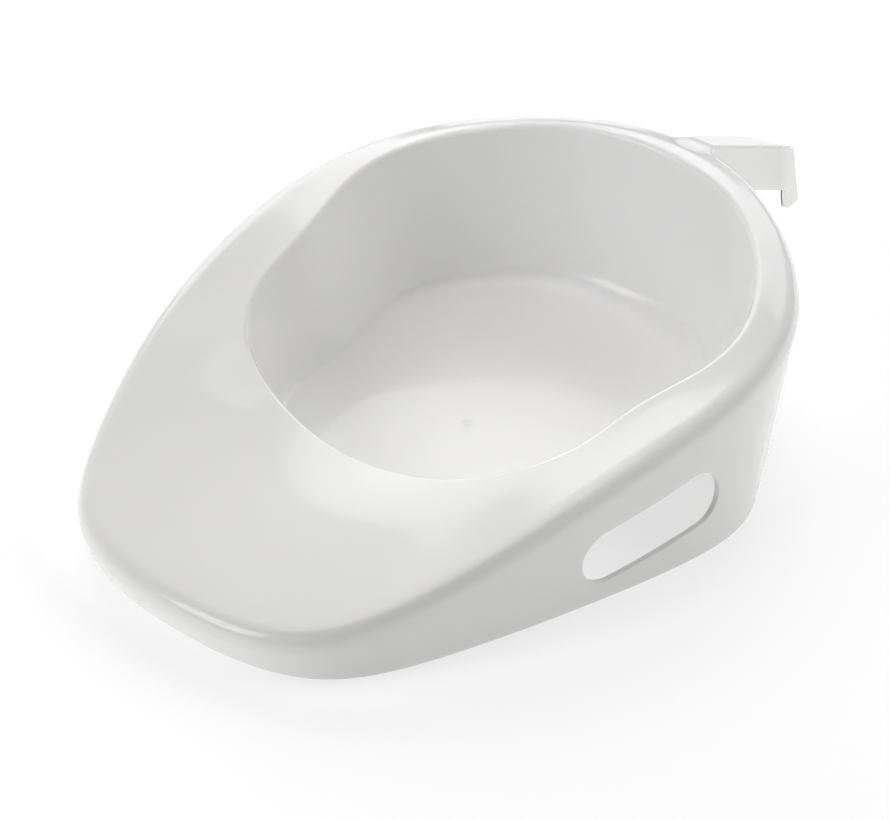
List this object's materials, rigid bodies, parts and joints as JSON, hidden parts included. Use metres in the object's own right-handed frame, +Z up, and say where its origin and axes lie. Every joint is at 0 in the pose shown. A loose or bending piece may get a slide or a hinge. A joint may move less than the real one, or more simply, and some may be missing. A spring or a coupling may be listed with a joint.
{
  "type": "bedpan",
  "caption": "Wedge-shaped moulded plastic bedpan with a low front lip, a high rear rim, hand slots in the sides and a hook handle behind.",
  "frame": {"origin": "centre of the bounding box, on the ground plane that the skirt stands on", "axes": "+X across the pan; +Y from the low front lip to the hook handle; +Z up"},
  "size_m": [0.305, 0.476, 0.0937],
  "materials": {
    "pan_plastic": "smooth glossy white polypropylene, slightly translucent"
  },
  "bodies": {
    "root": {"bowl_floor": "pan_plastic", "bowl_corner": "pan_plastic", "bowl_wall_front": "pan_plastic", "bowl_wall_right": "pan_plastic", "bowl_wall_rear": "pan_plastic", "bowl_wall_left": "pan_plastic", "seat_front_apron": "pan_plastic", "seat_right": "pan_plastic", "seat_left": "pan_plastic", "seat_rear_rim": "pan_plastic", "skirt_front": "pan_plastic", "skirt_right": "pan_plastic", "skirt_left": "pan_plastic", "skirt_rear": "pan_plastic", "handle_top": "pan_plastic", "handle_web_left": "pan_plastic", "handle_web_right": "pan_plastic", "hook_lip": "pan_plastic"}
  },
  "joints": []
}
